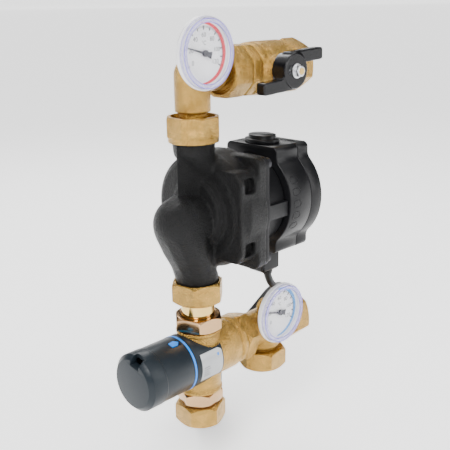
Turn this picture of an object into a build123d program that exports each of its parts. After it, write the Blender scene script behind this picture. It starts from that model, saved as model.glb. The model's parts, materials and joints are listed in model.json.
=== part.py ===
from build123d import *
import math
import os

# Pump and mixing group for an underfloor heating manifold.
# Millimetres, +Z up, -Y is the front that the thermometer dials face.
# Everything is drawn about the pump's flow axis (x = y = 0, z = 0 at the rotor axis) and moved
# at export, so that the origin lands on the gasket face of the supply manifold union.

# ---- driving dimensions -------------------------------------------------------------------
PUMP_LENGTH = 130.0            # port face to port face
TOP_Z = 104.8                  # supply line above the rotor axis
BOTTOM_Z = -120.2              # mixing valve and return line
MANIFOLD_X = 108.5             # gasket face of both manifold unions
THREAD_R = 15.15               # G1 pipe thread, minor radius of the union nuts
COLLAR_R = 14.8                # union tail collar
WATERWAY_R = 9.5
GASKET = 2.0
NUT_FLATS = 38.0               # G1 union nut, across flats
OCT_FLATS = 38.8               # octagonal cast nuts
TEE_X = 77.0                   # branch axis of the return tee
STEM_X = 70.0                  # ball valve stem axis
BALL_R = 15.5
BALL_BORE_R = 10.0
RUNNING = 0.05                 # radial clearance of a turning fit
CLEAR = 0.35                   # gap between loose turned faces

DIAL_R = 26.2                  # thermometer case
CASE_DEPTH = 9.5
SUPPLY_DIAL = (-3.7, -14.0, 121.0)     # centre of the case's back face
RETURN_DIAL = (69.0, -23.9, -97.6)
SUPPLY_BOSS_END = 3.0
RETURN_BOSS_END = -7.0

VOLUTE_FRONT = 4.0
VOLUTE_BACK = 33.0
SCREW_PITCH = 37.5             # pump head screws, each way from the axis
MOTOR_END = 62.0
FLANGE_SIDE = 89.0             # square flange between the volute and the motor
SHELL_START = 63.6
SHELL_END = 90.0
COVER_END = 106.0
SHELL_HEIGHT = 89.0
SHELL_WIDTH = 55.0
SHELL_BULGE_R = 43.0
SHELL_WALL = 2.4

KNOB_R = 22.6
KNOB_START = -25.4
KNOB_END = -70.0
SHROUD_END = 6.0               # the shroud's tongue ends here, beside the cold inlet
BARREL_R = 21.6                # mixing valve's horizontal barrel
LEG_R = 17.5                   # its vertical legs

CABLE_D = 6.5
GLAND = (84.0, 0.0, -72.5)     # where the cable leaves the gland


# ---- basic solids -------------------------------------------------------------------------
def rod(radius, start, end):
    return Pos(0, 0, (start + end) / 2) * Cylinder(radius, end - start)


def tube(outer, inner, start, end):
    return rod(outer, start, end) - rod(inner, start - 1, end + 1)


def turned(*points):
    face = make_face(Polyline(*points, points[0]))
    return revolve(Plane.XZ * face, Axis.Z)


def between(start, end, radius):
    line = Vector(*end) - Vector(*start)
    place = Plane(origin=start, z_dir=line)
    return place * rod(radius, 0, line.length)


def on_x(shape, z=0.0, y=0.0):
    """Lay a shape drawn along Z on an axis parallel to X, its z becoming x."""
    return Pos(0, y, z) * Rot(0, 90, 0) * shape


def on_front(shape, x, y, z):
    """Turn a shape drawn along Z towards the front, its z becoming the distance towards -Y."""
    return Pos(x, y, z) * Rot(90, 0, 0) * shape


def nut_blank(sides, flats, length):
    corner_r = flats / 2 / math.cos(math.pi / sides)
    crown_r = flats / 2 - 0.4
    rise = (corner_r - crown_r) * math.tan(math.radians(35))
    prism = extrude(RegularPolygon(flats / 2, sides, major_radius=False), length)
    envelope = turned((0, 0), (crown_r, 0), (corner_r + 0.1, rise),
                      (corner_r + 0.1, length - rise), (crown_r, length), (0, length))
    return prism & envelope


def union_nut(sides, flats, length, thread, hole_r, recess_r=0.0, floor=2.0, mouth_r=17.0, seat=0.0):
    """Union nut with its threaded mouth at z = 0; the floor catches the tail's collar.

    The thread stops at the gasket's face, seat deep, where the bore opens for the collar."""
    nut = nut_blank(sides, flats, length)
    nut -= rod(THREAD_R, -1, thread)
    if seat:
        nut -= rod(THREAD_R + 0.5, seat, thread)
    nut -= rod(hole_r, thread - 1, length + 1)
    nut -= turned((0, -0.1), (mouth_r, -0.1), (THREAD_R, 1.8), (0, 1.8))
    if recess_r:
        nut -= rod(recess_r, thread + floor, length + 1)
    return nut


def gasket():
    return tube(COLLAR_R, WATERWAY_R, 0, GASKET)


# ---- supply line --------------------------------------------------------------------------
PORT_FACE = PUMP_LENGTH / 2
TAIL_FACE = PORT_FACE + GASKET
ELBOW_R = 13.5
ELBOW_NECK_R = 10.6
ELBOW_BORE_R = 8.0
ELBOW_NUT = (46.3, 19.0)               # mouth x and length
ELBOW_FLANGE = (33.0, 36.0)            # collar of the elbow's horizontal tail
VALVE_START = ELBOW_FLANGE[1] + GASKET
TOP_NUT = (55.6, 19.5)                 # mouth z and length
MANIFOLD_COLLAR = (MANIFOLD_X - GASKET - 3.0, MANIFOLD_X - GASKET)
MANIFOLD_MOUTH = 120.0
BOSS_R = 7.5
POCKET_R = 3.5


def boss(place, end):
    """Boss for a thermometer pocket, from the case's back face towards the rear."""
    x, y, z = place
    return on_front(rod(BOSS_R, -end, -y), x, 0, z)


def pocket_bore(place, end):
    x, y, z = place
    return on_front(rod(POCKET_R, -end + 2.5, -y + 1), x, 0, z)


def supply_elbow():
    corner = Pos(0, 0, TOP_Z) * Sphere(ELBOW_R)
    body = rod(COLLAR_R, TAIL_FACE, TAIL_FACE + 3) + rod(ELBOW_NECK_R, TAIL_FACE, 79)
    body += rod(ELBOW_R, 78, TOP_Z) + corner
    body += on_x(rod(ELBOW_R, 0, 24), TOP_Z) + on_x(rod(ELBOW_NECK_R, 23, ELBOW_FLANGE[1]), TOP_Z)
    body += on_x(rod(COLLAR_R, *ELBOW_FLANGE), TOP_Z)
    body += boss(SUPPLY_DIAL, SUPPLY_BOSS_END)
    body -= rod(ELBOW_BORE_R, TAIL_FACE - 1, TOP_Z)
    body -= on_x(rod(ELBOW_BORE_R, 0, ELBOW_FLANGE[1] + 1), TOP_Z)
    body -= Pos(0, 0, TOP_Z) * Sphere(ELBOW_BORE_R)
    return body - pocket_bore(SUPPLY_DIAL, SUPPLY_BOSS_END)


def pump_top_nut():
    mouth, length = TOP_NUT
    thread = TAIL_FACE + 3 - mouth
    nut = union_nut(8, OCT_FLATS, length, thread, ELBOW_NECK_R + CLEAR, recess_r=17.0)
    skirt = rod(30, -1, 4.5) - rod(OCT_FLATS / 2 - 0.1, -2, 5)
    return Pos(0, 0, mouth) * Rot(0, 0, 22.5) * (nut - skirt)


def elbow_outlet_nut():
    mouth, length = ELBOW_NUT
    thread = mouth - ELBOW_FLANGE[0]
    nut = union_nut(8, OCT_FLATS, length, thread, ELBOW_NECK_R + CLEAR, recess_r=17.0)
    return Pos(mouth, 0, TOP_Z) * Rot(0, -90, 0) * Rot(0, 0, 22.5) * nut


CHAMBER_R = 16.3
CHAMBER_START = 54.5
BODY_END = 97.5
STEM_R = 4.0
STEM_BOSS_END = 26.0


def ball_valve_body():
    body = rod(THREAD_R, VALVE_START, 48)
    body += Pos(0, 0, 46.9) * Rot(0, 0, 22.5) * nut_blank(8, 39.0, 9.6)
    body += rod(19.2, 56, 59) + turned((0, 58.2), (20.2, 58.2), (20.8, 59), (20.8, 63), (20.2, 63.8), (0, 63.8))
    body += turned((0, 63), (20.2, 63.5), (21.2, 65.5), (21.2, 95.5), (20.2, BODY_END), (0, BODY_END))
    body = on_x(body, TOP_Z)
    body += on_front(rod(11.5, 12, 22) + rod(10.0, 12, STEM_BOSS_END), STEM_X, 0, TOP_Z)
    body -= on_x(rod(BALL_BORE_R, VALVE_START - 1, 60), TOP_Z)
    body -= on_x(rod(CHAMBER_R, CHAMBER_START, BODY_END + 1), TOP_Z)
    return body - on_front(rod(STEM_R + RUNNING, 0, 40), STEM_X, 0, TOP_Z)


def ball_valve_end():
    """Screwed end connector: it closes the ball chamber and carries the manifold union's collar."""
    seat_face = STEM_X + BALL_R
    body = rod(CHAMBER_R, seat_face, BODY_END) + rod(18.8, BODY_END, 100.6)
    body += rod(12.4, 100, MANIFOLD_COLLAR[1]) + rod(COLLAR_R, *MANIFOLD_COLLAR)
    return on_x(body - rod(BALL_BORE_R, seat_face - 1, MANIFOLD_X + 1), TOP_Z)


def supply_manifold_nut():
    thread = MANIFOLD_MOUTH - MANIFOLD_COLLAR[0]
    nut = union_nut(6, NUT_FLATS, MANIFOLD_MOUTH - 101.4, thread, 12.4 + CLEAR, seat=MANIFOLD_MOUTH - MANIFOLD_X)
    return Pos(MANIFOLD_MOUTH, 0, TOP_Z) * Rot(0, -90, 0) * Rot(0, 0, 5) * nut


def valve_ball():
    ball = Sphere(BALL_R) & Box(60, 60, 2 * (BALL_R - 1.2))
    ball -= rod(BALL_BORE_R, -30, 30)
    slot = Pos(BALL_R, 0, 0) * Box(6.0, 3.3, 9.0)
    return Pos(STEM_X, 0, TOP_Z) * (Rot(0, 90, 0) * ball - Rot(0, 0, -90) * slot)


def ball_seats():
    ring = tube(CHAMBER_R, BALL_BORE_R + 0.6, 11.5, BALL_R)
    ring -= Sphere(BALL_R + RUNNING)
    left = Pos(STEM_X, 0, TOP_Z) * Rot(0, -90, 0) * ring
    right = Pos(STEM_X, 0, TOP_Z) * Rot(0, 90, 0) * ring
    return Compound(children=[left, right])


def valve_stem():
    stem = rod(STEM_R, 15.6, HANDLE_BACK) + rod(3.0, 31, HANDLE_FACE) + rod(2.5, 41, 47.2)
    stem += Pos(0, 0, 14.4) * Box(2.9, 7.4, 3.0)
    return on_front(stem, STEM_X, 0, TOP_Z)


def stem_gland():
    nut = Pos(0, 0, STEM_BOSS_END) * nut_blank(6, 16.0, 4.4)
    return on_front(nut - rod(STEM_R + RUNNING, 0, 40), STEM_X, 0, TOP_Z)


WING_TIP = 34.3
HANDLE_BACK = 31.6
HANDLE_FACE = 41.5


def valve_handle():
    """Butterfly handle: one wing high on the right, its twin low on the left, about a round hub."""
    half = [(WING_TIP, 16.2), (WING_TIP + 0.5, 6.8), (13.5, 5.6), (12.5, -3.0), (4.0, -14.2)]
    outline = half + [(-x, -z) for x, z in half]
    plate = extrude(make_face(Polyline(*outline, outline[0])), 8.2)
    plate = Pos(0, 0, HANDLE_BACK) * plate
    tips = plate.edges().filter_by(Axis.Z).filter_by(lambda e: abs(e.center().X) > 30)
    plate = fillet(tips, 2.0)
    hub = rod(13.4, 28.0, HANDLE_FACE) - rod(11.0, 27, HANDLE_BACK)
    handle = plate + hub - rod(3.0, 20, 60)
    return on_front(handle, STEM_X, 0, TOP_Z)


def handle_nut():
    nut = rod(5.6, HANDLE_FACE, HANDLE_FACE + 1.2)
    nut += Pos(0, 0, HANDLE_FACE + 1.2) * nut_blank(6, 8.0, 4.0)
    return on_front(nut - rod(2.5, 40, 50), STEM_X, 0, TOP_Z)


# ---- thermometers -------------------------------------------------------------------------
POINTER_TURN = 75.0            # degrees anticlockwise from the top at rest
SHAFT_R = 0.75


def both_dials(shape):
    solids = [on_front(shape, *SUPPLY_DIAL), on_front(shape, *RETURN_DIAL)]
    return Compound(children=solids)


def thermometer_case():
    shell = turned((0, 0), (DIAL_R - 3.6, 0), (DIAL_R - 1.2, 1.0), (DIAL_R, 3.0), (DIAL_R, 5.6),
                   (DIAL_R - 1.6, 5.6), (DIAL_R - 1.6, 2.0), (0, 2.0))
    return shell - rod(SHAFT_R + RUNNING, -1, 3)


def thermometer_lens():
    rim = DIAL_R - 0.7
    cap = turned((0, CASE_DEPTH), (rim - 1.4, CASE_DEPTH), (rim, CASE_DEPTH - 1.4), (rim, 5.6),
                 (rim - 3.2, 5.6), (rim - 3.2, 7.9), (0, 7.9))
    return cap


def dial_plate(place):
    disc = tube(DIAL_R - 2.2, SHAFT_R + 0.4, 2.6, 3.2)
    return on_front(disc, *place)


def pointer(place):
    needle = make_face(Polyline((0.9, 0), (0.25, 19.0), (-0.25, 19.0), (-0.9, 0), (-2.6, -6.5),
                                (2.6, -6.5), (0.9, 0)))
    blade = Pos(0, 0, 4.3) * extrude(needle, 0.5) + rod(2.4, 3.9, 5.6)
    blade += rod(SHAFT_R, -12.8, 4.5)
    return on_front(Rot(0, 0, POINTER_TURN) * blade, *place)


def pocket(place, end):
    x, y, z = place
    sleeve = rod(POCKET_R, -end + 2.5, -y) - rod(2.6, -end + 3.5, -y + 1)
    return on_front(sleeve, x, 0, z)


def bimetal():
    return tube(2.3, 1.2, -12.0, -3.0)


# ---- pump ---------------------------------------------------------------------------------
def x_disc(radius, start, end):
    return on_x(rod(radius, start, end))


def lug_screws(shape):
    """Copies of a shape drawn along X at the four pump head screws."""
    places = [(y, z) for y in (-SCREW_PITCH, SCREW_PITCH) for z in (-SCREW_PITCH, SCREW_PITCH)]
    return [Pos(0, y, z) * shape for y, z in places]


CHAMBER_FRONT = 13.0
IMPELLER_ROOM_R = 35.0
SUCTION_X = -15.5              # the suction pipe bulges this far in front of the port axis
SUCTION_R = 21.5


def pump_volute():
    neck = rod(THREAD_R, 54, PORT_FACE) + rod(THREAD_R, -PORT_FACE, -54)
    throat = [(55, 0, 16.4), (46, 0, 15.4), (34, 8.0, 14.5), (20, 16.0, 11.5)]
    neck += loft([Pos(x, 0, z) * Circle(r) for z, x, r in throat], ruled=True)
    neck += turned((0, -55.6), (16.8, -55.6), (16.8, -50), (0, -50))
    rings = [(-55.6, 0, 16.8), (-44, -3.0, 17.6), (-30, -9.0, 19.6), (-16, -13.6, 21.2), (-6, SUCTION_X, SUCTION_R)]
    sections = [Pos(x, 0, z) * Circle(r) for z, x, r in rings]
    suction = loft(sections) + Pos(SUCTION_X, 0, -6) * Sphere(SUCTION_R)
    suction += on_x(rod(SUCTION_R, SUCTION_X, 10), -5)
    scroll = on_x(turned((0, VOLUTE_FRONT), (38.0, VOLUTE_FRONT), (43.0, 8.0), (46.5, 14.0),
                         (46.5, VOLUTE_BACK), (0, VOLUTE_BACK)))
    swell = on_x(turned((0, VOLUTE_FRONT), (37.0, VOLUTE_FRONT), (42.0, 7.0), (45.0, 14.0),
                        (43.0, 26.0), (0, 26.0)), 0, 7.0)
    eye = x_disc(28.5, 0.5, 6) + x_disc(25.0, -1.5, 6)
    pads = Pos(19.0, -11.0, 0) * Box(28.0, 66.0, 71.0) + Pos(24.5, 11.0, 0) * Box(17.0, 66.0, 71.0)
    pads = pads & x_disc(52.0, 4, VOLUTE_BACK)
    flange = on_x(Pos(0, 0, 24) * extrude(RectangleRounded(FLANGE_SIDE, FLANGE_SIDE, 8.0), VOLUTE_BACK - 24))
    keel = loft([Pos(0, 0, z) * make_face(Polyline((9, -half), (-17.5, 0), (9, half), (9, -half)))
                 for z, half in ((9, 8.5), (55, 14.5))])
    body = neck + suction + scroll + swell + eye + pads + flange + keel
    for side in (-1, 1):
        for end in (-1, 1):
            body -= Pos(19.5 + 4.0 * side, side * 41.5, end * 25.0) * Box(11.0, 8.0, 11.0)
    body -= x_disc(IMPELLER_ROOM_R, CHAMBER_FRONT, VOLUTE_BACK + 1)
    body -= x_disc(11.0, SUCTION_X, CHAMBER_FRONT + 1)
    body -= rod(11.0, -PORT_FACE - 1, -46)
    body -= between((0, 0, -47), (SUCTION_X, 0, -4), 11.0)
    body -= Pos(SUCTION_X, 0, 0) * Sphere(11.4)
    body -= rod(10.5, 44, PORT_FACE + 1)
    body -= between((0, 0, 46), (20, 0, 28), 10.5)
    for hole in lug_screws(x_disc(2.5, 25.5, 40)):
        body -= hole
    return body


SHAFT_RADIUS = 4.0
BUSH_R = 8.0
CAN_R = 23.0


def impeller():
    eye_r = 12.0
    rim = 32.0
    wheel = tube(rim, eye_r, 15.0, 16.6) + tube(rim, SHAFT_RADIUS, 22.4, 25.0)
    wheel += tube(eye_r + 1.5, eye_r, 13.4, 16.6)
    vane = Pos(21.5, 0, 19.5) * Box(19.5, 1.8, 6.2)
    for k in range(6):
        wheel += Rot(0, 0, 60 * k) * Pos(0, 4.0, 0) * vane
    return on_x(wheel & rod(rim, 10, 30))


def pump_shaft():
    return x_disc(SHAFT_RADIUS, 21.0, 58.0)


def rotor_magnets():
    return on_x(tube(21.5, SHAFT_RADIUS, 38.0, 51.5))


def bearing_plate():
    return on_x(tube(IMPELLER_ROOM_R, BUSH_R, 27.5, 30.0))


def pump_bearings():
    front = on_x(tube(BUSH_R, SHAFT_RADIUS + RUNNING, 27.5, 36.5))
    rear = on_x(tube(BUSH_R, SHAFT_RADIUS + RUNNING, 53.0, 59.0))
    return Compound(children=[front, rear])


def rotor_can():
    cup = rod(CAN_R, 30.0, 60.0) - rod(CAN_R - 0.8, 29, 59.0)
    cup += tube(IMPELLER_ROOM_R, CAN_R, 30.0, 31.2)
    return on_x(cup)


def stator():
    ring = tube(33.0, CAN_R + 0.1, 36.0, 57.0)
    for k in range(9):
        ring -= Rot(0, 0, 40 * k) * Pos(27.5, 0, 46.5) * Box(7.0, 4.0, 30.0)
    return on_x(ring)


def motor_housing():
    body = rod(37.5, VOLUTE_BACK, MOTOR_END) + rod(45.5, VOLUTE_BACK, 36.4)
    body += Pos(0, 0, MOTOR_END) * extrude(Circle(30.0), SHELL_START - MOTOR_END)
    body = on_x(body)
    for side in (-1, 1):
        body += Pos((VOLUTE_BACK + MOTOR_END) / 2, side * 38.0, -2) * Box(MOTOR_END - VOLUTE_BACK, 6.0, 12.0)
    flange = extrude(RectangleRounded(FLANGE_SIDE - 2, FLANGE_SIDE - 2, 7.0), 37.0 - VOLUTE_BACK)
    body += on_x(Pos(0, 0, VOLUTE_BACK) * flange)
    for hole in lug_screws(x_disc(2.7, 30, 40)):
        body -= hole
    cavity = rod(33.4, VOLUTE_BACK - 1, 58.5) + rod(CAN_R + 0.1, 50, 60.5)
    return body - on_x(cavity)


def housing_screws():
    screw = rod(2.5, 26, 37.0) + rod(4.3, 37.0, 41.5) - Pos(0, 0, 39.2) * extrude(RegularPolygon(2.0, 6), 3)
    return Compound(children=lug_screws(on_x(screw)))


def shell_outline(margin):
    """The electronics housing seen along the rotor axis: a tall slab with round side bulges."""
    slab = Rectangle(SHELL_HEIGHT - 2 * margin, SHELL_WIDTH - 2 * margin)
    outline = slab + Circle(SHELL_BULGE_R - margin)
    far = SHELL_BULGE_R + 3
    corners = outline.vertices().filter_by(lambda v: Vector(v).length > far)
    outline = fillet(corners, 4.5 - margin)
    inner = outline.vertices().filter_by(lambda v: abs(Vector(v).length - SHELL_BULGE_R + margin) < 0.2)
    return fillet(inner, 9.0)


def shell_block(start, end, margin):
    return Pos(0, 0, start) * extrude(shell_outline(margin), end - start)


def electronics_shell():
    block = shell_block(SHELL_START, SHELL_END, 0)
    room = shell_block(SHELL_START + SHELL_WALL, SHELL_END + 1, SHELL_WALL)
    return on_x(block - room)


def electronics_cover():
    block = shell_block(SHELL_END, COVER_END, 0)
    rim = block.faces().sort_by(Axis.Z)[-1].edges()
    block = chamfer(rim, 2.6)
    room = shell_block(SHELL_END - 1, COVER_END - SHELL_WALL, SHELL_WALL)
    return on_x(block - room) - on_x(rod(BUTTON_R + 0.3, COVER_END - 5, COVER_END + 1), 14.0)


BUTTON_R = 6.5


def control_button():
    button = rod(BUTTON_R, COVER_END - 4.5, COVER_END + 1.6) + rod(BUTTON_R + 1.6, COVER_END - 5.4, COVER_END - 3.4)
    return on_x(button, 14.0)


def circuit_board():
    board = Pos(0, 0, 84) * Box(72, 46, 1.6)
    for y, x in ((-14, 18), (10, 22), (12, -16)):
        board += Pos(x, y, 87.5) * Box(12, 14, 6)
    return on_x(board)


def signal_cap():
    base = extrude(Ellipse(13.0, 15.5), 3.4) + Pos(0, 0, 3.4) * extrude(Ellipse(10.0, 12.5), 3.2)
    return Pos(77.5, 0, SHELL_HEIGHT / 2) * base


CONNECTOR_TOP = -SHELL_HEIGHT / 2
CONNECTOR_BOTTOM = -67.5


def power_connector():
    height = CONNECTOR_TOP - CONNECTOR_BOTTOM
    block = Pos(79.0, 0, CONNECTOR_TOP - height / 2) * Box(22.0, 19.0, height)
    block = fillet(block.edges().filter_by(Axis.Z), 2.5)
    foot = block.faces().sort_by(Axis.Z)[0].edges()
    return chamfer(foot, 2.0)


def cable_gland():
    x, y, z = GLAND
    sleeve = turned((0, CONNECTOR_BOTTOM), (5.2, CONNECTOR_BOTTOM), (4.4, z), (0, z))
    return Pos(x, y, 0) * sleeve


# ---- mixing valve -------------------------------------------------------------------------
TAIL_NECK_R = 13.4
TAIL_HOLE_R = TAIL_NECK_R + CLEAR
OUTLET_NUT_TOP = -83.9
OUTLET_NUT_BOTTOM = -96.0
VALVE_PORT = -90.0             # face of the mixed water port
COLD_PORT = 44.5               # face of the cold port
ADAPTER_TOP = -150.2
ADAPTER_HEX_END = -161.0
HOT_NUT = (-179.2, 17.0)       # mouth z and length
PISTON_BORE_R = 14.0
SPINDLE_TIP_R = 4.0


def pump_bottom_nut():
    thread = TAIL_FACE + 3 - 55.3
    nut = union_nut(6, NUT_FLATS, 17.2, thread, TAIL_HOLE_R, mouth_r=17.8)
    return Pos(0, 0, -55.3) * Rot(180, 0, 0) * Rot(0, 0, 20) * nut


def double_collar_tail():
    top = -TAIL_FACE
    low = VALVE_PORT + GASKET
    body = rod(COLLAR_R, top - 3, top) + rod(TAIL_NECK_R, low, top) + rod(COLLAR_R, low, low + 2.4)
    return body - rod(WATERWAY_R, low - 1, top + 1)


def valve_outlet_nut():
    length = OUTLET_NUT_TOP - OUTLET_NUT_BOTTOM
    thread = VALVE_PORT + GASKET + 2.4 - OUTLET_NUT_BOTTOM
    nut = union_nut(6, 36.0, length, thread, TAIL_HOLE_R, mouth_r=15.6)
    return Pos(0, 0, OUTLET_NUT_BOTTOM) * Rot(0, 0, 50) * nut


def mixing_valve_body():
    body = rod(THREAD_R, OUTLET_NUT_BOTTOM - 1, VALVE_PORT) + rod(18.6, -98.6, OUTLET_NUT_BOTTOM)
    body += rod(LEG_R, -147.6, -98) + rod(18.6, ADAPTER_TOP, -147.4)
    barrel = rod(BARREL_R, -23.0, 30.0) + rod(19.4, 29, 34.0) + rod(20.6, 34.0, 38.6)
    barrel += rod(THREAD_R, 38, COLD_PORT) + rod(12.0, -40.0, -23)
    body += on_x(barrel, BOTTOM_Z)
    body -= on_x(rod(PISTON_BORE_R, -16, 27) + rod(WATERWAY_R, 26, COLD_PORT + 1), BOTTOM_Z)
    body -= on_x(rod(5.0 + RUNNING, -41, -15), BOTTOM_Z)
    body -= rod(WATERWAY_R, BOTTOM_Z, VALVE_PORT + 1)
    return body - rod(12.5, ADAPTER_TOP - 1, -141) - rod(WATERWAY_R, -142, BOTTOM_Z)


def knob_shroud():
    """Grey sleeve that laps the barrel, cut away round the legs, with a tongue to the front."""
    sleeve = tube(KNOB_R, BARREL_R, -22.8, SHROUD_END)
    sleeve = on_x(sleeve, BOTTOM_Z)
    sleeve -= Pos(0, 0, BOTTOM_Z) * rod(LEG_R + 1.4, -60, 60)
    for side in (-1, 1):
        sleeve -= Pos(12.0, 0, BOTTOM_Z + side * 25.0) * Box(28.0, 60.0, 22.0)
    return sleeve - Pos(20, 30, BOTTOM_Z) * Box(44.0, 60.0, 60.0)


def knob_ring():
    """Blue indicator ring with its pointer let into the knob's rim."""
    ring = on_x(tube(KNOB_R + 0.15, 16.0, KNOB_START, -23.4), BOTTOM_Z)
    mark = make_face(Polyline((-27.6, 0), (-30.6, 3.0), (-36.0, 2.4), (-36.0, -2.4), (-30.6, -3.0), (-27.6, 0)))
    arrow = Pos(0, 0, KNOB_R - 1.2) * extrude(mark, 1.4)
    return Compound(children=[ring, Pos(0, 0, BOTTOM_Z) * Rot(15, 0, 0) * arrow])


def mixing_knob():
    skin = turned((0, KNOB_END), (19.4, KNOB_END), (23.0, KNOB_END + 3.4), (23.0, -54.0), (KNOB_R, -53.4),
                  (KNOB_R, KNOB_START), (0, KNOB_START))
    knob = on_x(skin - rod(19.4, -63.0, KNOB_START + 1) + rod(8.0, -64, -44.5), BOTTOM_Z)
    knob -= on_x(rod(SPINDLE_TIP_R + RUNNING, -56.0, -44), BOTTOM_Z)
    window = Pos(-67.0, 0, 19.0) * Box(8.0, 10.0, 9.0)
    knob -= Pos(0, 0, BOTTOM_Z) * Rot(12, 0, 0) * window
    slot = Pos(0, 0, BOTTOM_Z) * Rot(15, 0, 0) * Pos(-31.8, 0, KNOB_R - 0.2) * Box(8.8, 6.4, 2.2)
    return knob - slot


def adjusting_spindle():
    spindle = rod(5.0, -41.0, -18.0) + rod(SPINDLE_TIP_R, -52.0, -40.0)
    return on_x(spindle, BOTTOM_Z)


def wax_element():
    return on_x(rod(5.5, -11.5, 8.0) + rod(3.0, -13.5, 12.0), BOTTOM_Z)


def mixing_piston():
    sleeve = tube(13.7, 11.0, -11.0, 7.0) + tube(11.0, 5.5, -3.0, -1.0)
    return on_x(sleeve, BOTTOM_Z)


def piston_spring():
    return on_x(tube(9.5, 8.2, 9.0, 24.5), BOTTOM_Z)


def inlet_adapter():
    body = rod(12.5, ADAPTER_TOP, -142.5) + rod(TAIL_NECK_R, -168.0, ADAPTER_TOP)
    body += Pos(0, 0, ADAPTER_HEX_END) * Rot(0, 0, 10) * nut_blank(6, 33.0, ADAPTER_TOP - ADAPTER_HEX_END)
    body += rod(COLLAR_R, -168.0, -165.0)
    return body - rod(WATERWAY_R, -169, -142)


def boiler_supply_nut():
    mouth, length = HOT_NUT
    nut = union_nut(6, 36.8, length, -165.0 - mouth, TAIL_HOLE_R, seat=-168.0 - GASKET - mouth)
    return Pos(0, 0, mouth) * Rot(0, 0, 25) * nut


# ---- return line --------------------------------------------------------------------------
TEE_R = 15.5
TEE_COLLAR = (COLD_PORT + GASKET, COLD_PORT + GASKET + 2.5)
TEE_NUT = (-157.5, 17.0)       # mouth z and length


def cold_inlet_nut():
    thread = TEE_COLLAR[1] - 39.6
    nut = union_nut(6, NUT_FLATS, 12.6, thread, TAIL_HOLE_R, mouth_r=15.8)
    return Pos(39.6, 0, BOTTOM_Z) * Rot(0, 90, 0) * Rot(0, 0, 15) * nut


def return_tee():
    run = rod(COLLAR_R, *TEE_COLLAR) + rod(TAIL_NECK_R, TEE_COLLAR[0], 56)
    run += turned((0, 53.5), (TEE_R, 54.5), (TEE_R, 91), (20.0, 92.5), (20.0, 98.4), (0, 98.4))
    run += rod(12.4, 98, MANIFOLD_COLLAR[1]) + rod(COLLAR_R, *MANIFOLD_COLLAR)
    body = on_x(run, BOTTOM_Z)
    branch = rod(TEE_R, -138.0, BOTTOM_Z) + rod(TAIL_NECK_R, -146.0, -137) + rod(COLLAR_R, -146.0, -143.3)
    body += Pos(TEE_X, 0, 0) * branch
    body += boss(RETURN_DIAL, RETURN_BOSS_END)
    web_top = RETURN_DIAL[2]
    body += Pos(RETURN_DIAL[0], -10.5, (web_top + BOTTOM_Z) / 2) * Box(11.0, 7.0, web_top - BOTTOM_Z)
    body -= on_x(rod(WATERWAY_R, TEE_COLLAR[0] - 1, MANIFOLD_X + 1), BOTTOM_Z)
    body -= Pos(TEE_X, 0, 0) * rod(WATERWAY_R, -147, BOTTOM_Z)
    return body - pocket_bore(RETURN_DIAL, RETURN_BOSS_END)


def boiler_return_nut():
    mouth, length = TEE_NUT
    nut = union_nut(6, 37.4, length, -143.3 - mouth, TAIL_HOLE_R, seat=-146.0 - GASKET - mouth)
    return Pos(TEE_X, 0, mouth) * Rot(0, 0, 5) * nut


def return_manifold_nut():
    thread = MANIFOLD_MOUTH - MANIFOLD_COLLAR[0]
    nut = union_nut(6, 39.4, MANIFOLD_MOUTH - 99.4, thread, 12.4 + CLEAR, seat=MANIFOLD_MOUTH - MANIFOLD_X)
    return Pos(MANIFOLD_MOUTH, 0, BOTTOM_Z) * Rot(0, -90, 0) * Rot(0, 0, 10) * nut


def flat_gaskets():
    up = [PORT_FACE, -PORT_FACE - GASKET, VALVE_PORT, -168.0 - GASKET]
    rings = [Pos(0, 0, z) * gasket() for z in up]
    rings.append(Pos(TEE_X, 0, -146.0 - GASKET) * gasket())
    along = [(ELBOW_FLANGE[1], TOP_Z), (MANIFOLD_COLLAR[1], TOP_Z), (COLD_PORT, BOTTOM_Z),
             (MANIFOLD_COLLAR[1], BOTTOM_Z)]
    rings += [on_x(Pos(0, 0, x) * gasket(), z) for x, z in along]
    return Compound(children=rings)


# ---- power cable --------------------------------------------------------------------------
# Out of the gland, round the back of the return union and down into a tied coil of four turns.
CABLE_R = CABLE_D / 2
COIL_CENTRE = Vector(51.6, 47.3, -186.0)
COIL_R = 32.5                  # to the middle of the cable
COIL_TURNS = 4
COIL_AXIS = Vector(0.73, -0.684, 0).normalized()
COIL_SIDE = Vector(0.684, 0.73, 0).normalized()
OUTER_TURN = CABLE_D * COIL_TURNS / 2      # middle of the first pass, from the coil's middle
TAIL_LENGTH = 22.0
CORE_LENGTH = 9.0
LEAD_END = COIL_CENTRE + COIL_AXIS * OUTER_TURN + COIL_SIDE * COIL_R
TAIL_START = COIL_CENTRE - COIL_AXIS * OUTER_TURN + COIL_SIDE * COIL_R
ROUTE = [Vector(*GLAND), Vector(86.2, -0.6, -80.8), Vector(92.3, -1.0, -87.8), Vector(100.4, 0.6, -92.2),
         Vector(109.5, 5.4, -94.2), Vector(116.2, 14, -97.2), Vector(117.5, 25, -104.4), Vector(114, 33.5, -117),
         Vector(106.5, 40.5, -130.5), Vector(97, 48.5, -143), Vector(88.5, 56.5, -156),
         LEAD_END + Vector(0, 0, 16), LEAD_END]


def bend_radii(points):
    radii = []
    for before, here, after in zip(points, points[1:], points[2:]):
        shorter = min((here - before).length, (after - here).length)
        half_turn = math.radians((here - before).get_angle(after - here)) / 2
        radii.append(0.45 * shorter / math.tan(half_turn))
    return radii


def power_cable():
    path = FilletPolyline(*ROUTE, radius=bend_radii(ROUTE))
    lead = sweep(Plane(ROUTE[0], z_dir=ROUTE[1] - ROUTE[0]) * Circle(CABLE_R), path=path)
    tail = Pos(*TAIL_START) * rod(CABLE_R, -TAIL_LENGTH, 0)
    return Compound(children=[lead, tail])


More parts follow.
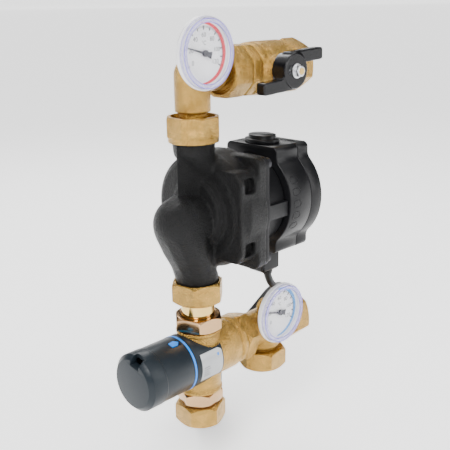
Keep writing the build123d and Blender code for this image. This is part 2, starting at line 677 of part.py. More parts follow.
def power_cable_coil():
    half = OUTER_TURN + CABLE_R
    return Plane(COIL_CENTRE, z_dir=COIL_AXIS) * tube(COIL_R + CABLE_R, COIL_R - CABLE_R, -half, half)


def cable_tie():
    wide = 2 * (OUTER_TURN + CABLE_R)
    band = Box(4.5, wide + 2.4, CABLE_D + 3.2) - Box(5, wide, CABLE_D + 0.8)
    band += Pos(0, 6, CABLE_R + 2.6) * Box(5.5, 6.0, 3.6)
    return Plane(COIL_CENTRE + Vector(0, 0, COIL_R), x_dir=COIL_SIDE, z_dir=(0, 0, 1)) * band


def power_cable_end():
    cores = []
    for turn in (0, 120, 240):
        core = rod(1.2, -CORE_LENGTH, 0) + rod(0.8, -CORE_LENGTH - 7, -CORE_LENGTH)
        cores.append(Pos(*TAIL_START) * Pos(0, 0, -TAIL_LENGTH) * Rot(0, 0, turn) * Pos(1.6, 0, 0) * core)
    return Compound(children=cores)


# ---- export -------------------------------------------------------------------------------
os.makedirs("parts", exist_ok=True)
NODES = {
    "supply_elbow": supply_elbow, "pump_top_nut": pump_top_nut, "elbow_outlet_nut": elbow_outlet_nut,
    "ball_valve_body": ball_valve_body, "ball_valve_end": ball_valve_end,
    "supply_manifold_nut": supply_manifold_nut, "valve_ball": valve_ball, "ball_seats": ball_seats,
    "valve_stem": valve_stem, "stem_gland": stem_gland, "valve_handle": valve_handle,
    "handle_nut": handle_nut, "pump_volute": pump_volute, "impeller": impeller,
    "pump_shaft": pump_shaft, "rotor_magnets": rotor_magnets, "bearing_plate": bearing_plate,
    "pump_bearings": pump_bearings, "rotor_can": rotor_can, "stator": stator,
    "motor_housing": motor_housing, "housing_screws": housing_screws,
    "electronics_shell": electronics_shell, "electronics_cover": electronics_cover,
    "control_button": control_button, "circuit_board": circuit_board, "signal_cap": signal_cap,
    "power_connector": power_connector, "cable_gland": cable_gland,
    "pump_bottom_nut": pump_bottom_nut, "double_collar_tail": double_collar_tail,
    "valve_outlet_nut": valve_outlet_nut, "mixing_valve_body": mixing_valve_body,
    "knob_shroud": knob_shroud, "knob_ring": knob_ring, "mixing_knob": mixing_knob,
    "adjusting_spindle": adjusting_spindle, "wax_element": wax_element,
    "mixing_piston": mixing_piston, "piston_spring": piston_spring,
    "inlet_adapter": inlet_adapter, "boiler_supply_nut": boiler_supply_nut,
    "cold_inlet_nut": cold_inlet_nut, "return_tee": return_tee,
    "boiler_return_nut": boiler_return_nut, "return_manifold_nut": return_manifold_nut,
    "flat_gaskets": flat_gaskets,
    "thermometer_cases": lambda: both_dials(thermometer_case()),
    "thermometer_lenses": lambda: both_dials(thermometer_lens()),
    "bimetal_coils": lambda: both_dials(bimetal()),
    "supply_dial": lambda: dial_plate(SUPPLY_DIAL), "return_dial": lambda: dial_plate(RETURN_DIAL),
    "supply_pointer": lambda: pointer(SUPPLY_DIAL), "return_pointer": lambda: pointer(RETURN_DIAL),
    "thermometer_pockets": lambda: Compound(children=[pocket(SUPPLY_DIAL, SUPPLY_BOSS_END),
                                                      pocket(RETURN_DIAL, RETURN_BOSS_END)]),
    "power_cable": power_cable, "power_cable_coil": power_cable_coil, "cable_tie": cable_tie,
    "power_cable_end": power_cable_end,
}

for name, make in NODES.items():
    shape = Pos(-MANIFOLD_X, 0, -TOP_Z) * make()
    export_step(shape, f"parts/{name}.step")
print("cable bend radii", [round(radius, 1) for radius in bend_radii(ROUTE)])
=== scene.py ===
import json
import math

import bmesh
import bpy
from mathutils import Matrix, Vector


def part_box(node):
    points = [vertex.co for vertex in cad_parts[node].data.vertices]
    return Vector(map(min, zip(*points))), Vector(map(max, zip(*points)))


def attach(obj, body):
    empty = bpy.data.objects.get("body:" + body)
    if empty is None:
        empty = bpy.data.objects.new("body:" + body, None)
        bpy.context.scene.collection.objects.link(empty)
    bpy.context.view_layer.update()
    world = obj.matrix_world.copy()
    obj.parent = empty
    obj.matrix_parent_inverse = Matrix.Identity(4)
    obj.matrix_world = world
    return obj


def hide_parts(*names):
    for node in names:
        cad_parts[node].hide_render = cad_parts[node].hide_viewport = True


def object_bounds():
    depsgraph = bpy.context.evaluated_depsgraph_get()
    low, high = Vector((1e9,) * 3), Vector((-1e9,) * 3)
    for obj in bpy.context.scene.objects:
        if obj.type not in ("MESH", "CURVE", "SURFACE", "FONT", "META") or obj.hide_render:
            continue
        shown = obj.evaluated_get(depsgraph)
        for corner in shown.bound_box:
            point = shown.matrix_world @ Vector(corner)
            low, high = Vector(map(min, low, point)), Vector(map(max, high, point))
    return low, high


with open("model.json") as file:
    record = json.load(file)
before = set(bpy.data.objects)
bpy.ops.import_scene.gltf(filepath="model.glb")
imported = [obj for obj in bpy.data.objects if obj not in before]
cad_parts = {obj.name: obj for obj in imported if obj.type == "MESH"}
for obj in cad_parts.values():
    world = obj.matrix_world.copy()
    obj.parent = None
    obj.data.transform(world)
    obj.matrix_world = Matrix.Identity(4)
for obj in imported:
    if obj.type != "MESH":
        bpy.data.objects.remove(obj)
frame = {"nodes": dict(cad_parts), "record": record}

NODES = frame["nodes"]
CAD_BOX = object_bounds()
BODY_OF = {}
for body_name, members in frame["record"]["behaviour"]["bodies"].items():
    for member in members:
        BODY_OF[member] = body_name
SLOT_OF = {entry["node"]: entry["material_slot"] for entry in frame["record"]["subparts"]}
MM = 0.001
TAU = math.tau


# ---- camera -------------------------------------------------------------------------------
CAMERA_AT = Vector((-0.4861, -0.4049, 0.0516))
CAMERA_TURN = math.radians(45.35)      # from +Y towards +X
CAMERA_DROP = math.radians(16.79)
CAMERA_ROLL = math.radians(0.84)
CAMERA_LENS = 59.4


def make_camera():
    data = bpy.data.cameras.new("camera")
    data.lens = CAMERA_LENS
    data.sensor_width = 36
    camera = bpy.data.objects.new("camera", data)
    bpy.context.scene.collection.objects.link(camera)
    right = Vector((math.cos(CAMERA_TURN), -math.sin(CAMERA_TURN), 0))
    away = Vector((math.sin(CAMERA_TURN), math.cos(CAMERA_TURN), 0))
    forward = away * math.cos(CAMERA_DROP) - Vector((0, 0, math.sin(CAMERA_DROP)))
    level_up = right.cross(forward)
    side = right * math.cos(CAMERA_ROLL) - level_up * math.sin(CAMERA_ROLL)
    up = right * math.sin(CAMERA_ROLL) + level_up * math.cos(CAMERA_ROLL)
    axes = Matrix((side, up, -forward)).transposed().to_4x4()
    camera.matrix_world = Matrix.Translation(CAMERA_AT) @ axes
    bpy.context.scene.camera = camera


make_camera()


# ---- materials ----------------------------------------------------------------------------
def node(tree, kind, **values):
    made = tree.nodes.new(kind)
    for key, value in values.items():
        if hasattr(made, key):
            setattr(made, key, value)
        else:
            made.inputs[key.replace("_", " ")].default_value = value
    return made


def surface(name, light, dark, rough, metal=0.0, grain=900.0, bump=0.0, blotch=45.0, rough_vary=0.08,
            **sockets):
    """A material whose colour drifts between two tones, with fine grain in its bump and roughness."""
    made = bpy.data.materials.new(name)
    made.use_nodes = True
    tree = made.node_tree
    shader = tree.nodes["Principled BSDF"]
    shader.inputs["Metallic"].default_value = metal
    for key, value in sockets.items():
        shader.inputs[key.replace("_", " ")].default_value = value
    place = node(tree, "ShaderNodeTexCoord")
    wide = node(tree, "ShaderNodeTexNoise", Scale=blotch, Detail=4.0, Roughness=0.6)
    fine = node(tree, "ShaderNodeTexNoise", Scale=grain, Detail=3.0, Roughness=0.65)
    ramp = node(tree, "ShaderNodeValToRGB")
    ramp.color_ramp.elements[0].position = 0.32
    ramp.color_ramp.elements[0].color = (*dark, 1)
    ramp.color_ramp.elements[1].position = 0.68
    ramp.color_ramp.elements[1].color = (*light, 1)
    spread = node(tree, "ShaderNodeMapRange")
    spread.inputs["To Min"].default_value = rough - rough_vary
    spread.inputs["To Max"].default_value = rough + rough_vary
    blend = node(tree, "ShaderNodeMath", operation="MULTIPLY_ADD")
    blend.inputs[1].default_value = 0.55
    shade = node(tree, "ShaderNodeMath", operation="MULTIPLY")
    shade.inputs[1].default_value = 0.45
    link = tree.links.new
    link(place.outputs["Object"], wide.inputs["Vector"])
    link(place.outputs["Object"], fine.inputs["Vector"])
    link(fine.outputs["Fac"], shade.inputs[0])
    link(wide.outputs["Fac"], blend.inputs[0])
    link(shade.outputs[0], blend.inputs[2])
    link(blend.outputs[0], ramp.inputs["Fac"])
    link(ramp.outputs["Color"], shader.inputs["Base Color"])
    link(fine.outputs["Fac"], spread.inputs["Value"])
    link(spread.outputs["Result"], shader.inputs["Roughness"])
    if bump:
        relief = node(tree, "ShaderNodeBump", Distance=bump)
        relief.inputs["Strength"].default_value = 0.8
        link(fine.outputs["Fac"], relief.inputs["Height"])
        link(relief.outputs["Normal"], shader.inputs["Normal"])
    return made


def add_sand(made, scale, height):
    """Sand-cast skin: a second, coarser relief under the fine grain."""
    tree = made.node_tree
    shader = tree.nodes["Principled BSDF"]
    fine = shader.inputs["Normal"].links[0].from_node
    place = node(tree, "ShaderNodeTexCoord")
    lumps = node(tree, "ShaderNodeTexNoise", Scale=scale, Detail=5.0, Roughness=0.7)
    relief = node(tree, "ShaderNodeBump", Distance=height)
    relief.inputs["Strength"].default_value = 0.7
    tree.links.new(place.outputs["Object"], lumps.inputs["Vector"])
    tree.links.new(lumps.outputs["Fac"], relief.inputs["Height"])
    tree.links.new(relief.outputs["Normal"], fine.inputs["Normal"])


def turned(name, light, dark, rough, line=3.0, **sockets):
    """Machined metal: the surface above with fine tool lines round and along the piece."""
    made = surface(name, light, dark, rough, metal=1.0, grain=2500.0, rough_vary=0.05, **sockets)
    tree = made.node_tree
    place = node(tree, "ShaderNodeTexCoord")
    lines = node(tree, "ShaderNodeTexNoise", Scale=1.0, Detail=2.0)
    stretch = node(tree, "ShaderNodeMapping")
    stretch.inputs["Scale"].default_value = (90.0, 90.0, 2600.0)
    relief = node(tree, "ShaderNodeBump", Distance=line * 1e-5)
    relief.inputs["Strength"].default_value = 0.6
    tree.links.new(place.outputs["Object"], stretch.inputs["Vector"])
    tree.links.new(stretch.outputs["Vector"], lines.inputs["Vector"])
    tree.links.new(lines.outputs["Fac"], relief.inputs["Height"])
    tree.links.new(relief.outputs["Normal"], tree.nodes["Principled BSDF"].inputs["Normal"])
    return made


def plastic(name, colour, rough, grain=1600.0, bump=0.00004, **sockets):
    dark = tuple(value * 0.82 for value in colour)
    return surface(name, colour, dark, rough, grain=grain, bump=bump, **sockets)


LOOKS = {
    "cast_brass": surface("cast_brass", (0.64, 0.395, 0.105), (0.31, 0.175, 0.038), 0.24, 1.0,
                          1300, 0.0011, 120),
    "machined_brass": turned("machined_brass", (0.84, 0.60, 0.22), (0.72, 0.47, 0.14), 0.12),
    "facet_brass": turned("facet_brass", (0.60, 0.38, 0.20), (0.42, 0.25, 0.12), 0.16),
    "chromed_ball": turned("chromed_ball", (0.82, 0.82, 0.83), (0.75, 0.75, 0.77), 0.08),
    "ptfe": plastic("ptfe", (0.85, 0.85, 0.82), 0.4),
    "handle_black": plastic("handle_black", (0.004, 0.004, 0.005), 0.13, 400, 0.00018,
                            Specular_IOR_Level=0.30),
    "zinc": turned("zinc", (0.74, 0.75, 0.76), (0.60, 0.61, 0.63), 0.28),
    "black_iron": surface("black_iron", (0.0040, 0.0040, 0.0043), (0.0022, 0.0022, 0.0024), 0.34, 0.0, 1000,
                          0.0014, 80, 0.12, Specular_IOR_Level=0.22),
    "white_plastic": plastic("white_plastic", (0.82, 0.82, 0.8), 0.4),
    "screw_black": turned("screw_black", (0.05, 0.05, 0.055), (0.03, 0.03, 0.033), 0.35),
    "steel": turned("steel", (0.60, 0.60, 0.62), (0.5, 0.5, 0.52), 0.3),
    "magnet": turned("magnet", (0.25, 0.25, 0.27), (0.18, 0.18, 0.2), 0.4),
    "carbon": plastic("carbon", (0.05, 0.05, 0.05), 0.6),
    "copper": turned("copper", (0.75, 0.38, 0.22), (0.6, 0.28, 0.15), 0.3, 8.0),
    "motor_black": surface("motor_black", (0.008, 0.008, 0.009), (0.004, 0.004, 0.005), 0.4, 0.0,
                           1500, 0.00016, Specular_IOR_Level=0.18),
    "case_black": plastic("case_black", (0.006, 0.006, 0.007), 0.30, 2200, 0.00005, Specular_IOR_Level=0.20),
    "button_grey": plastic("button_grey", (0.35, 0.36, 0.38), 0.4),
    "board_green": plastic("board_green", (0.05, 0.22, 0.10), 0.35),
    "rubber_black": plastic("rubber_black", (0.016, 0.016, 0.016), 0.55, 1200, 0.00006),
    "knob_grey": plastic("knob_grey", (0.011, 0.0165, 0.022), 0.34, 2000, 0.00005, Specular_IOR_Level=0.25),
    "ring_blue": plastic("ring_blue", (0.0, 0.22, 0.80), 0.35),
    "gasket_fibre": plastic("gasket_fibre", (0.12, 0.22, 0.14), 0.8, 900, 0.0001),
    "dial_case_white": plastic("dial_case_white", (0.86, 0.86, 0.88), 0.22, Coat_Weight=0.3),
    "clear_lens": plastic("clear_lens", (0.80, 0.80, 1.0), 0.05, bump=0.0, rough_vary=0.02, Alpha=0.035,
                          Specular_IOR_Level=0.12),
    "dial_face": plastic("dial_face", (0.9, 0.9, 0.9), 0.55),
    "pointer_black": plastic("pointer_black", (0.014, 0.014, 0.014), 0.45),
    "cable_black": plastic("cable_black", (0.015, 0.015, 0.017), 0.42, 1800, 0.00005),
    "core_wire": plastic("core_wire", (0.32, 0.13, 0.05), 0.4),
}
RED_PRINT = plastic("red_print", (0.80, 0.008, 0.015), 0.45)
BLUE_PRINT = plastic("blue_print", (0.05, 0.32, 0.72), 0.45)
# painted sheen: lilac-blue see-through tints for the rings at the lens's edges, standing in for the light
# those edges catch
LENS_EDGE_SHEEN = plastic("lens_edge", (0.30, 0.24, 0.92), 0.15, bump=0.0, Alpha=0.55)
LENS_SKIRT_SHEEN = plastic("lens_skirt", (0.62, 0.58, 0.98), 0.15, bump=0.0, Alpha=0.35)
LABEL_SILVER = surface("label_silver", (0.44, 0.45, 0.46), (0.36, 0.37, 0.38), 0.34, 1.0, 2400, 0.00002)

add_sand(LOOKS["cast_brass"], 420.0, 0.0011)
add_sand(LOOKS["black_iron"], 380.0, 0.0017)

for name, piece in NODES.items():
    piece.data.materials.clear()
    piece.data.materials.append(LOOKS[SLOT_OF[name]])
    piece.data.shade_smooth()
    piece.data.set_sharp_from_angle(angle=math.radians(32))


# ---- pieces that replace CAD nodes --------------------------------------------------------
def link_piece(name, mesh, body, slot, look=None):
    piece = bpy.data.objects.new(name, mesh)
    bpy.context.scene.collection.objects.link(piece)
    mesh.materials.clear()
    mesh.materials.append(look or LOOKS[slot])
    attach(piece, body)
    return piece


def stand_for(name, suffix, mesh):
    piece = link_piece(name + suffix, mesh, BODY_OF[name], SLOT_OF[name])
    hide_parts(name)
    return piece


def worked(name, mesh, modifiers):
    """The mesh after a list of (kind, settings) modifiers."""
    helper = bpy.data.objects.new(name, mesh)
    bpy.context.scene.collection.objects.link(helper)
    for kind, settings in modifiers:
        modifier = helper.modifiers.new(kind, kind)
        for key, value in settings.items():
            setattr(modifier, key, value)
    graph = bpy.context.evaluated_depsgraph_get()
    result = bpy.data.meshes.new_from_object(helper.evaluated_get(graph))
    bpy.data.objects.remove(helper)
    return result


def welded(name):
    mesh = NODES[name].data.copy()
    work = bmesh.new()
    work.from_mesh(mesh)
    bmesh.ops.remove_doubles(work, verts=work.verts, dist=2e-6)
    work.to_mesh(mesh)
    work.free()
    return mesh


def cast(name, voxel=0.9, rounds=6):
    """A casting: every edge of the CAD solid rounded over, as sand casting leaves it."""
    steps = [("REMESH", {"mode": "VOXEL", "voxel_size": voxel * MM, "use_smooth_shade": True}),
             ("SMOOTH", {"factor": 0.5, "iterations": rounds})]
    return stand_for(name, "_casting", worked(name, welded(name), steps))


def eased(name, width=0.35, angle=28):
    """A machined or moulded piece: its sharp edges broken with a narrow bevel."""
    mesh = welded(name)
    work = bmesh.new()
    work.from_mesh(mesh)
    flat = math.radians(1.0)
    bmesh.ops.dissolve_limit(work, angle_limit=flat, verts=work.verts, edges=work.edges)
    work.to_mesh(mesh)
    work.free()
    steps = [("BEVEL", {"width": width * MM, "segments": 2, "limit_method": "ANGLE",
                        "angle_limit": math.radians(angle), "use_clamp_overlap": True,
                        "harden_normals": False})]
    mesh = worked(name, mesh, steps)
    mesh.shade_smooth()
    mesh.set_sharp_from_angle(angle=math.radians(40))
    return stand_for(name, "_eased", mesh)


CASTINGS = {"pump_volute": (1.0, 6), "supply_elbow": (0.8, 5), "ball_valve_body": (0.8, 5),
            "return_tee": (0.8, 5), "mixing_valve_body": (0.8, 5), "valve_handle": (0.6, 4)}
EASED = {"pump_top_nut": 0.5, "elbow_outlet_nut": 0.5, "supply_manifold_nut": 0.5, "pump_bottom_nut": 0.5,
         "valve_outlet_nut": 0.35, "boiler_supply_nut": 0.5, "cold_inlet_nut": 0.45, "boiler_return_nut": 0.5,
         "return_manifold_nut": 0.5, "inlet_adapter": 0.35, "handle_nut": 0.2, "electronics_shell": 0.7,
         "electronics_cover": 0.7, "signal_cap": 0.5, "power_connector": 0.4, "mixing_knob": 0.5,
         "knob_shroud": 0.3, "motor_housing": 0.5, "thermometer_cases": 0.4}
for name, (voxel, rounds) in CASTINGS.items():
    cast(name, voxel, rounds)
for name, width in EASED.items():
    eased(name, width)


# ---- thermometer scales -------------------------------------------------------------------
PRINT = 0.06 * MM                      # how far the print stands on the plate
DEGREES_PER_MARK = 2.0                 # turn for each degree Celsius
MIDDLE_READING = 60
LENS_RISE = 6.3 * MM                   # from the dial plate's face to the lens's front
LENS_R = 25.5 * MM


def dial_point(radius, turn):
    """A point on the dial, turn in degrees clockwise from the top."""
    angle = math.radians(turn)
    return radius * math.sin(angle), radius * math.cos(angle)


def add_plate(work, outline, front, place):
    """A thin printed patch, its outline in (x, z) about the dial's centre."""
    centre_x, centre_z = place
    faces = []
    for y in (front - PRINT, front - 0.01 * MM):
        ring = [work.verts.new((centre_x + x, y, centre_z + z)) for x, z in outline]
        faces.append(ring)
    work.faces.new(faces[0])
    work.faces.new(faces[1][::-1])
    for i in range(len(outline)):
        j = (i + 1) % len(outline)
        work.faces.new((faces[0][j], faces[0][i], faces[1][i], faces[1][j]))


def crescent(work, start, end, radius, widest, front, place, steps=48):
    outer = []
    inner = []
    for i in range(steps + 1):
        share = i / steps
        turn = start + (end - start) * share
        thick = widest * (0.15 + 0.85 * math.sin(math.pi * share) ** 0.6)
        outer.append((radius, turn))
        inner.append((radius - thick, turn))
    for i in range(steps):
        corners = [outer[i], outer[i + 1], inner[i + 1], inner[i]]
        add_plate(work, [dial_point(*corner) for corner in corners], front, place)


def label_mesh(text, height):
    curve = bpy.data.curves.new("label", "FONT")
    curve.body = text
    curve.size = height
    curve.align_x = "CENTER"
    curve.align_y = "CENTER"
    curve.resolution_u = 3
    helper = bpy.data.objects.new("label", curve)
    bpy.context.scene.collection.objects.link(helper)
    mesh = bpy.data.meshes.new_from_object(helper.evaluated_get(bpy.context.evaluated_depsgraph_get()))
    bpy.data.objects.remove(helper)
    return mesh


def finish_mesh(work, name):
    bmesh.ops.recalc_face_normals(work, faces=work.faces)
    mesh = bpy.data.meshes.new(name)
    work.to_mesh(mesh)
    work.free()
    return mesh


def thermometer_scale(plate, accent):
    low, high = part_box(plate)
    place = ((low.x + high.x) / 2, (low.z + high.z) / 2)
    rim = (high.x - low.x) / 2
    front = low.y
    work = bmesh.new()
    for reading in range(0, 121, 2):
        turn = (reading - MIDDLE_READING) * DEGREES_PER_MARK
        long_mark = reading % 10 == 0
        inner = rim * (0.68 if long_mark else 0.735)
        half = (0.50 if long_mark else 0.22) * MM
        out_x, out_z = dial_point(1, turn)
        side = (out_z * half, -out_x * half)
        corners = []
        for radius, sign in ((inner, 1), (inner, -1), (rim * 0.80, -1), (rim * 0.80, 1)):
            corners.append((out_x * radius + sign * side[0], out_z * radius + sign * side[1]))
        add_plate(work, corners, front, place)
    labels = [(str(reading), dial_point(rim * 0.53, (reading - MIDDLE_READING) * DEGREES_PER_MARK), 4.6)
              for reading in range(0, 121, 20)]
    labels.append(("°C", (0.0, rim * 0.30), 4.0))
    for text, (x, z), height in labels:
        letters = label_mesh(text, height * MM)
        upright = Matrix.Rotation(math.pi / 2, 4, "X")
        letters.transform(Matrix.Translation((place[0] + x, front - PRINT, place[1] + z)) @ upright)
        work.from_mesh(letters)
    link_piece(plate + "_marks", finish_mesh(work, plate + "_marks"), BODY_OF[plate], "pointer_black")
    arc = bmesh.new()
    crescent(arc, -8, 188, rim * 0.91, 3.4 * MM, front, place)
    link_piece(plate + "_arc", finish_mesh(arc, plate + "_arc"), BODY_OF[plate], "dial_face", accent)
    lens_rings(plate, place, front - LENS_RISE)


def lathe(work, profile, place, steps=96):
    """A ring with a closed (radius, y) profile, turned about the dial's axis."""
    rings = []
    for i in range(steps):
        sine, cosine = math.sin(TAU * i / steps), math.cos(TAU * i / steps)
        rings.append([work.verts.new((place[0] + r * sine, y, place[1] + r * cosine)) for r, y in profile])
    for i in range(steps):
        here, there = rings[i], rings[(i + 1) % steps]
        for j in range(len(profile)):
            k = (j + 1) % len(profile)
            work.faces.new((here[j], here[k], there[k], there[j]))


def round_profile(radius, y, thick, points=8):
    angles = [TAU * i / points for i in range(points)]
    return [(radius + thick * math.cos(angle), y + thick * math.sin(angle)) for angle in angles]


def lens_rings(plate, place, front):
    """The lens's moulded edges as tinted see-through rings: a painted lilac-blue sheen where the clear
    plastic's edges catch the light.
    """
    edges = bmesh.new()
    lathe(edges, round_profile(LENS_R - 1.3 * MM, front + 0.75 * MM, 0.42 * MM), place)
    lathe(edges, round_profile(LENS_R - 3.9 * MM, front + 1.1 * MM, 0.36 * MM), place)
    skirt = bmesh.new()
    inner, outer, y = LENS_R - 3.7 * MM, LENS_R - 1.5 * MM, front + 0.3 * MM
    lathe(skirt, [(inner, y), (outer, y), (outer, y + 0.2 * MM), (inner, y + 0.2 * MM)], place)
    side, y = LENS_R + 0.06 * MM, front + 1.6 * MM
    under = side - 0.02 * MM
    lathe(skirt, [(under, y), (side, y), (side, y + 2.2 * MM), (under, y + 2.2 * MM)], place)
    # rings that carry the painted lilac-blue edge sheen of the lens
    link_piece(plate + "_lens_edges", finish_mesh(edges, plate + "_lens_edges"), BODY_OF[plate], "clear_lens",
               LENS_EDGE_SHEEN)
    link_piece(plate + "_lens_skirt", finish_mesh(skirt, plate + "_lens_skirt"), BODY_OF[plate], "clear_lens",
               LENS_SKIRT_SHEEN)


thermometer_scale("supply_dial", RED_PRINT)
thermometer_scale("return_dial", BLUE_PRINT)


# ---- label and moulded marks --------------------------------------------------------------
SHROUD_LOW, SHROUD_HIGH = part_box("knob_shroud")
VALVE_Z = (SHROUD_LOW.z + SHROUD_HIGH.z) / 2
SHROUD_R = (SHROUD_HIGH.z - SHROUD_LOW.z) / 2
LABEL_HALF = 11.5 * MM
LABEL_START = SHROUD_LOW.x + 5.0 * MM
LABEL_END = SHROUD_HIGH.x - 1.2 * MM


def wrap(work, outline, radius, thick, columns=14):
    """A plate bent round the valve's axis. outline gives its two ends at a height share, -1 to 1."""
    grids = []
    for r in (radius, radius + thick):
        grid = []
        for i in range(columns + 1):
            share = -1 + 2 * i / columns
            start, end = outline(share)
            z = LABEL_HALF * share
            y = -math.sqrt(r * r - z * z)
            grid.append([work.verts.new((start + (end - start) * t, y, VALVE_Z + z)) for t in (0, 0.5, 1)])
        grids.append(grid)
    under, over = grids
    for i in range(columns):
        for t in range(2):
            for grid in grids:
                work.faces.new((grid[i][t], grid[i][t + 1], grid[i + 1][t + 1], grid[i + 1][t]))
        for t in (0, 2):
            work.faces.new((under[i][t], under[i + 1][t], over[i + 1][t], over[i][t]))
    for i in (0, columns):
        for t in range(2):
            work.faces.new((under[i][t], under[i][t + 1], over[i][t + 1], over[i][t]))


def label_outline(share):
    corner = max(0.0, abs(share) - 0.74) / 0.26
    return LABEL_START, LABEL_END - 3.0 * MM * (1 - math.sqrt(1 - corner * corner))


def make_label():
    work = bmesh.new()
    wrap(work, label_outline, SHROUD_R, 0.25 * MM)
    mesh = finish_mesh(work, "valve_label")
    mesh.shade_smooth()
    mesh.set_sharp_from_angle(angle=math.radians(30))
    link_piece("valve_label", mesh, "group", "zinc", LABEL_SILVER)


def print_bar(work, start, end, low, high):
    """One printed bar on the label, between two heights above the valve's axis."""
    r = SHROUD_R + 0.29 * MM
    corners = [(x, -math.sqrt(r * r - z * z), VALVE_Z + z) for z in (low, high) for x in (start, end)]
    a, b, c, d = [work.verts.new(corner) for corner in corners]
    work.faces.new((a, b, d, c))


def make_label_print():
    dark = bmesh.new()
    for i in range(5):
        low = (-7.5 + 1.9 * i) * MM
        print_bar(dark, LABEL_START + 2 * MM, LABEL_START + (9.0 - 0.9 * (i % 3)) * MM, low, low + 0.45 * MM)
    print_bar(dark, LABEL_END - 5.2 * MM, LABEL_END - 3.9 * MM, -6.5 * MM, 4.5 * MM)
    blue = bmesh.new()
    print_bar(blue, LABEL_END - 5.4 * MM, LABEL_END - 3.4 * MM, 6.0 * MM, 8.2 * MM)
    link_piece("valve_label_bars", finish_mesh(dark, "valve_label_bars"), "group", "pointer_black")
    link_piece("valve_label_patch", finish_mesh(blue, "valve_label_patch"), "group", "ring_blue")


SHELL_LOW, SHELL_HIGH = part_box("electronics_shell")
BULGE_R = (SHELL_HIGH.y - SHELL_LOW.y) / 2
ROTOR_Z = (SHELL_HIGH.z + SHELL_LOW.z) / 2


def raised_outline(work, centre_x, centre_angle, half_length, half_height, bead):
    """A raised pill-shaped line on the housing's round side, as a bead of a few sides."""
    steps = 28
    rings = []
    for i in range(steps):
        angle = TAU * i / steps
        straight = half_length - half_height
        x = half_height * math.cos(angle) + math.copysign(straight, math.cos(angle))
        rise = half_height * math.sin(angle)
        out = Vector((math.cos(angle), math.sin(angle)))
        ring = []
        for across, up in ((-bead, 0.0), (0.0, bead * 0.7), (bead, 0.0)):
            px = centre_x + x + out.x * across
            turn = centre_angle + (rise + out.y * across) / BULGE_R
            r = BULGE_R + up
            ring.append(work.verts.new((px, -r * math.cos(turn), ROTOR_Z + r * math.sin(turn))))
        rings.append(ring)
    for i in range(steps):
        here, there = rings[i], rings[(i + 1) % steps]
        for j in range(3):
            k = (j + 1) % 3
            work.faces.new((here[j], here[k], there[k], there[j]))


def make_housing_marks():
    work = bmesh.new()
    middle = SHELL_LOW.x + (SHELL_HIGH.x - SHELL_LOW.x) * 0.32
    for i in range(5):
        raised_outline(work, middle, math.radians(26 - 13 * i), 4.4 * MM, 2.9 * MM, 0.35 * MM)
    mesh = finish_mesh(work, "housing_marks")
    mesh.shade_smooth()
    link_piece("housing_marks", mesh, "group", "case_black")


make_label()
make_label_print()
make_housing_marks()


# ---- power cable --------------------------------------------------------------------------
PUMP_AXIS = Vector((0.1085, 0.0, 0.1048))      # the gasket face seen from the pump's middle
CABLE_D = 6.5 * MM
ROUTE = [(0.0840, 0.0, -0.0725), (0.0862, -0.0006, -0.0808), (0.0923, -0.0010, -0.0878),
         (0.1004, 0.0006, -0.0922), (0.1095, 0.0054, -0.0942), (0.1162, 0.0140, -0.0972),
         (0.1175, 0.0250, -0.1044), (0.1140, 0.0335, -0.1170), (0.1065, 0.0405, -0.1305),
         (0.0970, 0.0485, -0.1430), (0.0885, 0.0565, -0.1560)]
COIL_CENTRE = Vector((0.0516, 0.0473, -0.1860))
COIL_R = 32.5 * MM
COIL_TURNS = 4
COIL_AXIS = Vector((0.73, -0.684, 0)).normalized()
COIL_SIDE = Vector((0.684, 0.73, 0)).normalized()
POINTS_PER_TURN = 16
TAIL = 22.0 * MM


def cable_points():
    points = [Vector(point) for point in ROUTE]
    first = COIL_CENTRE + COIL_AXIS * CABLE_D * COIL_TURNS / 2 + COIL_SIDE * COIL_R
    points.append(first + Vector((0, 0, 16 * MM)))
    control_r = COIL_R / math.cos(math.pi / POINTS_PER_TURN / 1.4)
    count = COIL_TURNS * POINTS_PER_TURN
    for i in range(count + 1):
        turn = -TAU * i / POINTS_PER_TURN
        along = COIL_AXIS * CABLE_D * (COIL_TURNS / 2 - i / POINTS_PER_TURN)
        out = COIL_SIDE * math.cos(turn) + Vector((0, 0, math.sin(turn)))
        points.append(COIL_CENTRE + along + out * (COIL_R if i in (0, count) else control_r))
    last = points[-1]
    points.append(last - Vector((0, 0, TAIL / 2)))
    points.append(last - Vector((0, 0, TAIL)))
    return [point - PUMP_AXIS for point in points]


def make_cable():
    curve = bpy.data.curves.new("power_lead", "CURVE")
    curve.dimensions = "3D"
    curve.bevel_depth = CABLE_D / 2
    curve.bevel_resolution = 6
    curve.use_fill_caps = True
    spline = curve.splines.new("NURBS")
    points = cable_points()
    spline.points.add(len(points) - 1)
    for control, point in zip(spline.points, points):
        control.co = (*point, 1)
    spline.order_u = 3
    spline.use_endpoint_u = True
    spline.resolution_u = 6
    curve.materials.append(LOOKS["cable_black"])
    lead = bpy.data.objects.new("power_lead", curve)
    bpy.context.scene.collection.objects.link(lead)
    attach(lead, "group")
    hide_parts("power_cable", "power_cable_coil")


make_cable()


# ---- stage --------------------------------------------------------------------------------
FLOOR_HALF = 90.0
FLOOR_GAP = 0.0005                     # between the object's lowest point and the floor
SWEEP = [(-FLOOR_HALF, 0), (60.0, 0), (62.5, 0.3), (64.0, 1.3), (65.0, 3.0), (65.3, 8.0)]
SKY = [(0.05, 0.85), (0.13, 0.03), (0.50, 0.05), (0.80, 1.15)]     # height share and brightness
SKY_STRENGTH = 1.5


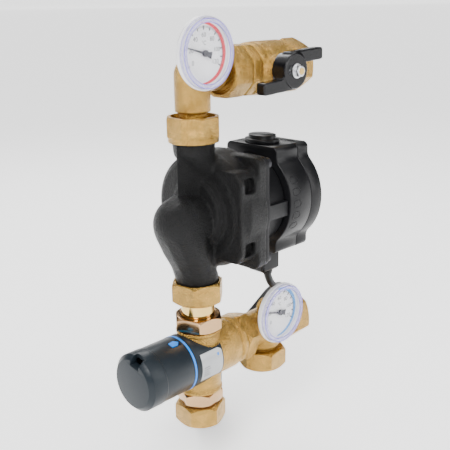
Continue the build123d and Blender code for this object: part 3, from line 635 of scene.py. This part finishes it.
def make_stage():
    mesh = bpy.data.meshes.new("floor")
    ahead = bpy.context.scene.camera.matrix_world.to_3x3() @ Vector((0, 0, -1))
    ahead = Vector((ahead.x, ahead.y, 0)).normalized()
    across = Vector((-ahead.y, ahead.x, 0)) * FLOOR_HALF
    # flat round the object, then a sweep far behind it, so that no horizon line shows
    points = []
    for reach, rise in SWEEP:
        middle = ahead * reach + Vector((0, 0, CAD_BOX[0].z - FLOOR_GAP + rise))
        points += [middle - across, middle + across]
    faces = [(2 * k, 2 * k + 2, 2 * k + 3, 2 * k + 1) for k in range(len(SWEEP) - 1)]
    mesh.from_pydata(points, [], faces)
    mesh.shade_smooth()
    floor = bpy.data.objects.new("floor", mesh)
    bpy.context.scene.collection.objects.link(floor)
    mesh.materials.append(surface("floor", (0.93, 0.93, 0.93), (0.92, 0.92, 0.92), 0.8, blotch=3.0,
                                  Emission_Color=(1, 1, 1, 1), Emission_Strength=1.0))


def area_light(name, place, aim, size, power):
    data = bpy.data.lights.new(name, "AREA")
    data.shape = "RECTANGLE"
    data.size, data.size_y = size
    data.energy = power
    light = bpy.data.objects.new(name, data)
    bpy.context.scene.collection.objects.link(light)
    light.location = place
    light.rotation_mode = "QUATERNION"
    light.rotation_quaternion = (Vector(aim) - Vector(place)).to_track_quat("-Z", "Y")


def make_light():
    world = bpy.data.worlds.new("studio")
    bpy.context.scene.world = world
    world.use_nodes = True
    tree = world.node_tree
    sky = node(tree, "ShaderNodeTexCoord")
    split = node(tree, "ShaderNodeSeparateXYZ")
    ramp = node(tree, "ShaderNodeValToRGB")
    ramp.color_ramp.elements.new(0.5)
    ramp.color_ramp.elements.new(0.6)
    # bright at the horizon, where the sweep meets the floor, dark above it, bright overhead
    for element, (position, level) in zip(ramp.color_ramp.elements, SKY):
        element.position = position
        element.color = (level, level, level, 1)
    tree.links.new(sky.outputs["Generated"], split.inputs[0])
    tree.links.new(split.outputs["Z"], ramp.inputs["Fac"])
    tree.links.new(ramp.outputs["Color"], tree.nodes["Background"].inputs["Color"])
    tree.nodes["Background"].inputs["Strength"].default_value = SKY_STRENGTH
    middle = (CAD_BOX[0] + CAD_BOX[1]) / 2
    area_light("key", middle + Vector((-0.9, -0.5, 0.9)), middle, (0.45, 0.8), 20)
    area_light("fill", middle + Vector((0.7, -1.2, 0.5)), middle, (0.6, 1.0), 9)
    area_light("rim", middle + Vector((0.5, 0.9, 0.9)), middle, (0.8, 0.6), 10)


make_stage()
make_light()
